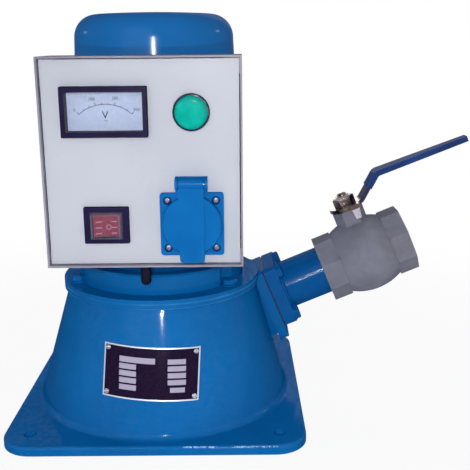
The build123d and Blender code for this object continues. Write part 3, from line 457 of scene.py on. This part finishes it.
def plateMaterial(name, look):
    made, place = startMaterial(name)
    x, y, z = place.split()
    x = x - plateMiddle[0]
    z = z - plateMiddle[1]
    turn = math.radians(look["turn"])
    u = x * math.cos(turn) + z * math.sin(turn)
    v = z * math.cos(turn) - x * math.sin(turn)
    wide, high = [half - look["edge"] for half in look["half"]]
    border = u.size().rise(wide, wide + look["edgeSoft"]).most(
        v.size().rise(high, high + look["edgeSoft"]))
    inner, outer = look["fieldEdge"]
    fields = None
    for left, right, low, top in plateFields:
        wide = (right - left) / 2
        high = (top - low) / 2
        outside = (u - (left + right) / 2).size().rise(wide + inner, wide + outer).most(
            (v - (low + top) / 2).size().rise(high + inner, high + outer))
        fields = 1 - outside if fields is None else fields.most(1 - outside)
    fine = place.grain(*look["fine"])
    colour = fine.rise(*look["fineBand"]).blend(look["black"], look["worn"])
    colour = fields.blend(colour, look["field"])
    colour = border.blend(colour, look["paleEdge"])
    height = fine + fields * look["fieldHigh"] + border * look["edgeHigh"]
    return feed(made, {"Base Color": colour, "Roughness": look["rough"] + fine * look["fineRough"],
                       "Metallic": border * look["metal"], "Normal": height.bump(*look["bump"]),
                       "Coat Weight": fine * look["film"], "Coat Roughness": look["filmRough"],
                       **film})


# the dial card: a printed arc with ticks, every third one long, as on a plain voltmeter
dialLook = {"arc": (-0.0002, -0.0258), "arcR": 0.031, "half": 41.0, "endSoft": 0.004,
            "line": 0.00028, "soft": 0.0001, "ticks": 10, "longEvery": 3, "long": 0.0021,
            "short": 0.0012, "ink": tone(46, 48, 76), "inkShare": 0.85,
            "card": tone(176, 192, 224), "pale": tone(186, 200, 230), "fine": (300.0, 3.0, 0.5),
            "fineBand": (0.3, 0.7), "rough": 0.5, "fineRough": 0.1}


def dialMaterial(name, look):
    made, place = startMaterial(name)
    x, y, z = place.split()
    du = x - (dialMiddle[0] + look["arc"][0])
    dv = z - (dialMiddle[1] + look["arc"][1])
    away = du.far(dv) - look["arcR"]
    lean = du.sums("ARCTAN2", du, dv)
    reach = math.radians(look["half"])
    soft = look["soft"]
    ends = 1 - lean.size().rise(reach, reach + look["endSoft"])
    mark = away.within(look["line"], soft) * ends
    for step in range(look["ticks"]):
        angle = -reach + step * reach * 2 / (look["ticks"] - 1)
        high = look["long"] if step % look["longEvery"] == 0 else look["short"]
        tick = ((lean - angle) * look["arcR"]).within(look["line"], soft)
        tick = tick * away.rise(-soft, soft) * (1 - away.rise(high - soft, high + soft))
        mark = mark.most(tick)
    fine = place.grain(*look["fine"])
    colour = fine.rise(*look["fineBand"]).blend(look["card"], look["pale"])
    colour = (mark * look["inkShare"]).blend(colour, look["ink"])
    return feed(made, {"Base Color": colour, "Roughness": look["rough"] + fine * look["fineRough"],
                       "Specular IOR Level": 0.0})


finishes = {
    "casting paint": paintMaterial("castingBlue", castingPaint),
    "cover paint": paintMaterial("coverBlue", coverPaint),
    "pipe paint": paintMaterial("pipeBlue", pipePaint),
    "panel paint": sheetMaterial("panelGrey", panelPaint),
    "box paint": sheetMaterial("boxGrey", boxPaint),
    "socket plastic": plasticMaterial("socketBlue", socketPlastic),
    "black plastic": plasticMaterial("blackMoulding", blackPlastic),
    "gland plastic": plasticMaterial("glandBlack", glandPlastic),
    "grip vinyl": plasticMaterial("gripVinyl", gripVinyl),
    "ring plastic": plasticMaterial("lampRing", ringPlastic),
    "red plastic": rockerMaterial("rockerRed", rockerLook),
    "valve metal": metalMaterial("valveGrey", valveMetal),
    "lever metal": metalMaterial("leverZinc", leverMetal),
    "nut metal": metalMaterial("nutChrome", nutMetal),
    "shaft metal": metalMaterial("shaftSteel", shaftMetal),
    "brass": metalMaterial("nozzleBrass", brassMetal),
    "rivet metal": metalMaterial("rivetAluminium", rivetMetal),
    "screw metal": metalMaterial("screwZinc", screwMetal),
    "window": glassMaterial("meterGlass", windowGlass),
    "boot": glassMaterial("bootVinyl", bootVinyl),
    "dial ink": plasticMaterial("dialInk", dialInk),
    "rubber": rubberMaterial("gasketRubber", gasketRubber),
    "lens": lensMaterial("lampLens", lensLook),
    "plate print": plateMaterial("nameplatePrint", plateLook),
    "dial card": dialMaterial("dialCard", dialLook),
}

wears = {
    "casting paint": ["turbine_casing", "end_bell", "generator_frame", "upper_shield",
                      "bell_bolts"],
    "cover paint": ["generator_cover"],
    "pipe paint": ["inlet_flange", "inlet_pipe", "inlet_bolts", "box_bracket"],
    "panel paint": ["front_panel"],
    "box paint": ["control_box"],
    "socket plastic": ["socket_base", "socket_lid"],
    "black plastic": ["meter_case", "switch_frame"],
    "ring plastic": ["lamp_ring"],
    "gland plastic": ["cable_gland"],
    "grip vinyl": ["lever_sleeve"],
    "red plastic": ["switch_rocker"],
    "valve metal": ["valve_body", "valve_cap", "gland_nut"],
    "lever metal": ["valve_lever"],
    "nut metal": ["lever_nut", "valve_stem"],
    "shaft metal": ["shaft", "runner", "runner_nut", "valve_ball", "lid_pin"],
    "brass": ["nozzle"],
    "rivet metal": ["nameplate_rivets"],
    "screw metal": ["socket_screws"],
    "window": ["meter_window"],
    "boot": ["switch_boot"],
    "rubber": ["inlet_gasket"],
    "lens": ["lamp_lens"],
    "plate print": ["nameplate"],
    "dial card": ["meter_dial"],
}


def dress(piece, finish):
    piece.data.materials.clear()
    piece.data.materials.append(finishes[finish])


for finish, worn in wears.items():
    for node in worn:
        dress(nodes[node], finish)
print("finishes assigned")


def alone(piece=None):
    # leaves only this piece selected and active
    bpy.ops.object.select_all(action="DESELECT")
    if piece:
        piece.select_set(True)
        bpy.context.view_layer.objects.active = piece


def applied(piece):
    # moves the piece's place and turn into its mesh
    alone(piece)
    bpy.ops.object.transform_apply(location=True, rotation=True, scale=True)


def shaped(piece, modifier):
    alone(piece)
    bpy.ops.object.modifier_apply(modifier=modifier)


def standing(foot, up, across=(1.0, 0.0, 0.0)):
    # the place of a piece that stands on foot along up, with its X turned towards across
    upright = Vector(up).normalized()
    side = (Vector(across) - Vector(across).dot(upright) * upright).normalized()
    turn = Matrix((side, upright.cross(side), upright)).transposed()
    return Matrix.Translation(Vector(foot)) @ turn.to_4x4()


def onInlet(run):
    # the place of a round piece on the inlet's axis, this far along it
    return standing(inletStart + inletAxis * run, inletAxis, (0, 1, 0))


def cutBy(piece, tool, operation):
    # keeps what the piece and the tool share, or takes the tool out of it
    cut = piece.modifiers.new("cut", "BOOLEAN")
    cut.operation = operation
    cut.solver = "EXACT"
    cut.object = tool
    shaped(piece, "cut")
    bpy.data.objects.remove(tool, do_unlink=True)


# corners nearer to one another than this become one
mergeWithin = 0.000002


def turned(steps, sides):
    # a closed round form: a filled circle drawn up through pairs of radius and height
    alone()
    radius, height = steps[0]
    bpy.ops.mesh.primitive_circle_add(vertices=sides, radius=radius, fill_type="NGON",
                                      location=(0, 0, height))
    piece = bpy.context.object
    bpy.ops.object.transform_apply(location=True, rotation=True, scale=True)
    bpy.ops.object.mode_set(mode="EDIT")
    bpy.ops.mesh.select_all(action="SELECT")
    for nextRadius, nextHeight in steps[1:]:
        drawn = {"value": (0, 0, nextHeight - height)}
        bpy.ops.mesh.extrude_region_move(TRANSFORM_OT_translate=drawn)
        share = nextRadius / radius
        bpy.ops.transform.resize(value=(share, share, 1), center_override=(0, 0, nextHeight))
        radius, height = nextRadius, nextHeight
    bpy.ops.mesh.select_all(action="SELECT")
    bpy.ops.mesh.remove_doubles(threshold=mergeWithin)
    bpy.ops.mesh.normals_make_consistent(inside=False)
    bpy.ops.object.mode_set(mode="OBJECT")
    return piece


def domed(look):
    # a round head whose profile gives shares of its radius and heights
    return turned([(look["radius"] * share, height) for share, height in look["profile"]],
                  look["sides"])


def joined(parts):
    alone(parts[0])
    for part in parts[1:]:
        part.select_set(True)
    bpy.ops.object.join()
    return parts[0]


def settle(piece, name, finish, body, place=None, replaced=(), smooth=32.0):
    # gives a finished piece its place, name, finish and body
    if place:
        piece.matrix_world = place @ piece.matrix_world
    applied(piece)
    bpy.ops.object.shade_smooth_by_angle(angle=math.radians(smooth))
    piece.name = name
    piece.data.name = name
    dress(piece, finish)
    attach(piece, body)
    if replaced:
        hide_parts(*replaced)


def settleCopies(piece, name, finish, slot, places):
    # puts a copy at each place, to stand for the solids of one node that doesn't move
    for index, place in enumerate(places):
        twin = piece.copy()
        twin.data = piece.data.copy()
        bpy.context.collection.objects.link(twin)
        settle(twin, name + str(index + 1), finish, "generator", place, [slot])
    bpy.data.objects.remove(piece, do_unlink=True)


# a hexagon's corners are turned off by a cone that reaches below its foot
hexCut = {"slope": 62.0, "below": 0.001, "sides": 48}


def hexHead(flats, low, high, crown):
    # a hexagon turned down at its top to a circle of crown times its flats
    corner = flats / 2 / math.cos(math.radians(30))
    head = turned([(corner, low), (corner, high)], 6)
    slope = math.tan(math.radians(hexCut["slope"]))
    foot = flats * crown + (high - low + hexCut["below"]) * slope
    cone = turned([(foot, low - hexCut["below"]), (flats * crown, high)], hexCut["sides"])
    cutBy(head, cone, "INTERSECT")
    return head


# hexagon bolts with a chamfered head, on a flat washer and at the end bell a spring washer;
# a washer is its radius and thickness, an ease how far its edge is cut back inwards and down
bellBolt = {"flats": 0.013, "high": 0.0053, "crown": 0.46, "shankR": 0.0039, "shank": 0.0085,
            "flat": (0.0078, 0.0009), "spring": (0.0066, 0.0012),
            "circle": 0.081, "angles": (-156.0, -36.0, 84.0), "seat": 0.124}
inletBolt = {"flats": 0.013, "high": 0.0053, "crown": 0.46, "shankR": 0.0039, "shank": 0.0085,
             "flat": (0.0078, 0.0012), "run": 0.0135, "aside": 0.023}
washer = {"flatEase": (0.0003, 0.0002), "springEase": (0.0004, 0.0003), "sides": 40,
          "shankHigh": 0.0002, "shankSides": 24}


def boltPiece(look):
    radius, top = look["flat"]
    inwards, down = washer["flatEase"]
    parts = [turned([(look["shankR"], -look["shank"]), (look["shankR"], washer["shankHigh"])],
                    washer["shankSides"]),
             turned([(radius, 0), (radius, top - down), (radius - inwards, top)],
                    washer["sides"])]
    if "spring" in look:
        radius, thick = look["spring"]
        inwards, down = washer["springEase"]
        low = top
        top = low + thick
        parts.append(turned([(radius - inwards, low), (radius, low + down),
                             (radius, top - down), (radius - inwards, top)], washer["sides"]))
    parts.append(hexHead(look["flats"], top, look["high"], look["crown"]))
    return joined(parts)


places = []
for angle in bellBolt["angles"]:
    out = Vector((math.cos(math.radians(angle)), math.sin(math.radians(angle)), 0))
    foot = out * bellBolt["circle"] + Vector((0, 0, bellBolt["seat"]))
    places.append(standing(foot, (0, 0, 1), out))
settleCopies(boltPiece(bellBolt), "bellBolt", "casting paint", "bell_bolts", places)

places = []
for sideways, along in squareCorners:
    foot = inletStart + inletAxis * inletBolt["run"] + stemAxis * along * inletBolt["aside"]
    foot += Vector((0, sideways * inletBolt["aside"], 0))
    places.append(standing(foot, inletAxis, (0, 1, 0)))
settleCopies(boltPiece(inletBolt), "inletBolt", "pipe paint", "inlet_bolts", places)

# the lever's nut: a hexagon with a rounded crown and a lip round its bore
nutLook = {"flats": 0.019, "low": 0.0554, "high": 0.0644, "crown": 0.39, "bore": 0.0052,
           "lip": ((0.0018, -0.0004), (0.0014, 0.0006), (0.0006, 0.0009)), "sides": 32,
           "edge": 0.0003, "segments": 2, "angle": 35.0}
nut = hexHead(nutLook["flats"], nutLook["low"], nutLook["high"], nutLook["crown"])
lip = turned([(nutLook["bore"] + wide, nutLook["high"] + up) for wide, up in nutLook["lip"]],
             nutLook["sides"])
nut = joined([nut, lip])
edge = nut.modifiers.new("edge", "BEVEL")
edge.width = nutLook["edge"]
edge.segments = nutLook["segments"]
edge.limit_method = "ANGLE"
edge.angle_limit = math.radians(nutLook["angle"])
shaped(nut, "edge")
settle(nut, "leverNut", "nut metal", "valve_handle",
       standing(valveCentre, stemAxis, (0, 1, 0)), ["lever_nut"])

# the socket's screws: pan heads with a cross recess
screwLook = {"radius": 0.0023, "sides": 32, "seat": -0.1273, "high": 0.0010,
             "profile": ((1, 0), (1, 0.0004), (0.93, 0.0007), (0.72, 0.00094), (0.4, 0.0010)),
             "slot": (0.0031, 0.0008, 0.0012), "slotTurns": (45, 135),
             "firstTurn": 17, "nextTurn": 31}
screw = domed(screwLook)
for turn in screwLook["slotTurns"]:
    alone()
    bpy.ops.mesh.primitive_cube_add(size=1, location=(0, 0, screwLook["high"]),
                                    rotation=(0, 0, math.radians(turn)), scale=screwLook["slot"])
    cutBy(screw, bpy.context.object, "DIFFERENCE")
places = []
for index, (sideways, along) in enumerate(squareCorners):
    foot = (socketMiddle[0] + sideways * socketAside, screwLook["seat"],
            socketMiddle[1] + along * socketAside)
    lean = math.radians(screwLook["firstTurn"] + screwLook["nextTurn"] * index)
    places.append(standing(foot, towardsFront, (math.cos(lean), 0, math.sin(lean))))
settleCopies(screw, "socketScrew", "screw metal", "socket_screws", places)

# the nameplate's rivets: domes with a ring pressed round them, square to the cone
rivetLook = {"radius": 0.00225, "sides": 28, "high": 0.0012, "lean": 0.29767,
             "profile": ((1, 0), (1, 0.0004), (0.86, 0.0008), (0.72, 0.00085), (0.62, 0.0006),
                         (0.52, 0.0006), (0.44, 0.0009), (0.2, 0.0012))}
clusters = {}
for vertex in nodes["nameplate_rivets"].data.vertices:
    side = (vertex.co.x > plateMiddle[0], vertex.co.z > plateMiddle[1])
    clusters.setdefault(side, []).append(vertex.co.copy())
places = []
for side in sorted(clusters):
    cluster = clusters[side]
    centre = Vector([(min(co[axis] for co in cluster) + max(co[axis] for co in cluster)) / 2
                     for axis in range(3)])
    out = Vector((centre.x, centre.y, 0)).normalized() + Vector((0, 0, rivetLook["lean"]))
    out.normalize()
    highest = max((co - centre).dot(out) for co in cluster)
    places.append(standing(centre + out * (highest - rivetLook["high"]), out))
settleCopies(domed(rivetLook), "plateRivet", "rivet metal", "nameplate_rivets", places)

# the thread in the valve's free end: a wound triangle, partly sunk in the bore's wall
threadLook = {"radius": 0.0226, "pitch": 0.002309, "deep": 0.0012, "inwards": 0.35,
              "run": 0.1300, "turns": 7, "steps": 48, "smooth": 20}
alone()
ridge = threadLook["radius"] - threadLook["deep"] * threadLook["inwards"]
bpy.ops.mesh.primitive_circle_add(vertices=3, radius=threadLook["deep"], location=(ridge, 0, 0),
                                  rotation=(math.radians(90), 0, 0))
thread = bpy.context.object
applied(thread)
winding = thread.modifiers.new("winding", "SCREW")
winding.axis = "Z"
winding.angle = math.radians(360)
winding.screw_offset = threadLook["pitch"]
winding.iterations = threadLook["turns"]
winding.steps = threadLook["steps"]
winding.render_steps = threadLook["steps"]
shaped(thread, "winding")
bpy.ops.object.mode_set(mode="EDIT")
bpy.ops.mesh.select_all(action="SELECT")
bpy.ops.mesh.fill_holes(sides=3)
bpy.ops.mesh.normals_make_consistent(inside=False)
bpy.ops.object.mode_set(mode="OBJECT")
settle(thread, "endThread", "valve metal", "generator",
       onInlet(threadLook["run"]), smooth=threadLook["smooth"])

# the weld between the pipe and its flange, a ring with ripples
weldLook = {"radius": 0.0248, "thick": 0.0021, "run": 0.0138, "ripple": 0.0007,
            "rippleSize": 0.004, "around": 180, "across": 12, "smooth": 60}
alone()
bpy.ops.mesh.primitive_torus_add(major_radius=weldLook["radius"], minor_radius=weldLook["thick"],
                                 major_segments=weldLook["around"],
                                 minor_segments=weldLook["across"])
weld = bpy.context.object
ripples = bpy.data.textures.new("ripples", "WOOD")
ripples.wood_type = "RINGNOISE"
ripples.noise_scale = weldLook["rippleSize"]
ripple = weld.modifiers.new("ripple", "DISPLACE")
ripple.texture = ripples
ripple.strength = weldLook["ripple"]
shaped(weld, "ripple")
bpy.data.textures.remove(ripples)
settle(weld, "flangeWeld", "pipe paint", "generator",
       onInlet(weldLook["run"]), smooth=weldLook["smooth"])

# numbers and the unit on the dial, each by its place from the dial's middle and its size
numberLook = {"face": -0.1195, "thick": 0.00008, "curveSteps": 3, "smooth": 20,
              "words": (("0", -0.0239, 0.0009, 0.0034), ("100", -0.0104, 0.0091, 0.0034),
                        ("200", 0.0077, 0.0097, 0.0034), ("300", 0.0238, 0.0009, 0.0034),
                        ("V", -0.0004, -0.0032, 0.0082), ("~", 0.0001, -0.0073, 0.0045))}
marks = []
for word, u, v, size in numberLook["words"]:
    alone()
    bpy.ops.object.text_add(location=(0, 0, 0))
    mark = bpy.context.object
    mark.data.body = word
    mark.data.size = size
    mark.data.align_x = "CENTER"
    mark.data.align_y = "CENTER"
    mark.data.extrude = numberLook["thick"]
    mark.data.resolution_u = numberLook["curveSteps"]
    alone(mark)
    bpy.ops.object.convert(target="MESH")
    mark = bpy.context.object
    foot = (dialMiddle[0] + u, numberLook["face"], dialMiddle[1] + v)
    mark.matrix_world = standing(foot, towardsFront)
    applied(mark)
    marks.append(mark)
settle(joined(marks), "dialNumbers", "dial ink", "generator",
       smooth=numberLook["smooth"])
print("pieces modelled")

# the photo's camera
view = {"place": (0.0723, -0.7188, 0.3375), "turn": (75.99948, 0.485148, -0.020964),
        "lens": 59.15, "sensor": 36.0, "nearest": 0.01}
turn = [math.radians(angle) for angle in view["turn"]]
bpy.ops.object.camera_add(location=view["place"], rotation=turn)
camera = bpy.context.object
camera.data.lens = view["lens"]
camera.data.sensor_width = view["sensor"]
camera.data.clip_start = view["nearest"]
bpy.context.scene.camera = camera

# a low small lamp for the cone's glint, a flash above the box's top edge and soft studio light
plainWhite = (1, 1, 1)
lights = {
    "glint": {"place": (0.05, -0.74, 0.268), "size": 0.01, "power": 1.0, "aim": (0, 0, 0.12),
              "colour": plainWhite},
    "flash": {"place": (0.05, -0.74, 0.38), "size": 0.03, "power": 1.7, "aim": (0, 0, 0.2),
              "colour": (1.0, 0.99, 0.97)},
    "key": {"place": (-0.5, -1.4, 0.9), "size": 1.2, "power": 4.4, "aim": (0, 0, 0.18),
            "colour": plainWhite},
    "fill": {"place": (0.9, -1.0, 0.6), "size": 1.0, "power": 0.6, "aim": (0, 0, 0.15),
             "colour": plainWhite},
    "left": {"place": (-1.2, 0.42, 0.62), "size": 0.12, "power": 0.7, "aim": (0, 0, 0.3),
             "colour": plainWhite},
    "right": {"place": (1.2, 0.42, 0.7), "size": 0.12, "power": 0.7, "aim": (0, 0, 0.3),
              "colour": plainWhite},
    "back": {"place": (0.2, 1.3, 0.8), "size": 1.0, "power": 6.5, "aim": (0, 0, 0.2),
             "colour": plainWhite},
}
for name, light in lights.items():
    bpy.ops.object.light_add(type="AREA", location=light["place"])
    lamp = bpy.context.object
    lamp.name = name
    lamp.data.size = light["size"]
    lamp.data.energy = light["power"]
    lamp.data.color = light["colour"]
    ahead = Vector(light["aim"]) - Vector(light["place"])
    lamp.rotation_euler = ahead.to_track_quat("-Z", "Y").to_euler()

# the world is white where it is seen or mirrored, and gives a dim even light
worldLook = {"dim": (0.2, 0.202, 0.212, 1), "white": (1, 1, 1, 1), "strength": 1.0}
world = bpy.data.worlds.new("studio")
bpy.context.scene.world = world
world.use_nodes = True
sky = world.node_tree
rays = sky.nodes.new("ShaderNodeLightPath")
seen, mirrored, through = [Wire(sky, rays.outputs["Is " + kind + " Ray"])
                           for kind in ("Camera", "Glossy", "Transmission")]
shade = seen.most(through).most(mirrored).blend(worldLook["dim"], worldLook["white"])
plug(sky, sky.nodes["Background"], {"Color": shade, "Strength": worldLook["strength"]})

# the floor shows faint shadows near the part and is plain white further out
floorLook = {"size": 8, "low": -0.0004, "grain": (3.0, 2.0, 0.5), "deep": (0.8, 0.8, 0.8, 1),
             "lit": (0.84, 0.84, 0.84, 1), "rough": 0.7, "grainRough": 0.1,
             "fadeBand": (0.3, 0.75), "whiteNear": 0.91, "whiteGain": 0.09}
bpy.ops.mesh.primitive_plane_add(size=floorLook["size"], location=(0, 0, floorLook["low"]))
floor = bpy.context.object
floor.name = "floor"
pale, palePlace = startMaterial("paleFloor")
paleGrain = palePlace.grain(*floorLook["grain"])
feed(pale, {"Base Color": paleGrain.blend(floorLook["deep"], floorLook["lit"]),
            "Roughness": floorLook["rough"] + paleGrain * floorLook["grainRough"]})
tree = pale.node_tree
seen = Wire(tree, tree.nodes.new("ShaderNodeLightPath").outputs["Is Camera Ray"])
lit = Wire(tree, tree.nodes["Principled BSDF"].outputs[0])
white = Wire(tree, tree.nodes.new("ShaderNodeEmission").outputs[0])
farX, farY, farZ = palePlace.split()
away = farX.far(farY).rise(*floorLook["fadeBand"])
share = seen * (away * floorLook["whiteGain"] + floorLook["whiteNear"])
mix = seen.node("MixShader", {}, {0: share, 1: lit, 2: white})
tree.links.new(mix.socket, tree.nodes["Material Output"].inputs["Surface"])
floor.data.materials.append(pale)

bpy.context.scene.view_settings.view_transform = "Standard"
print("camera, floor and light set")
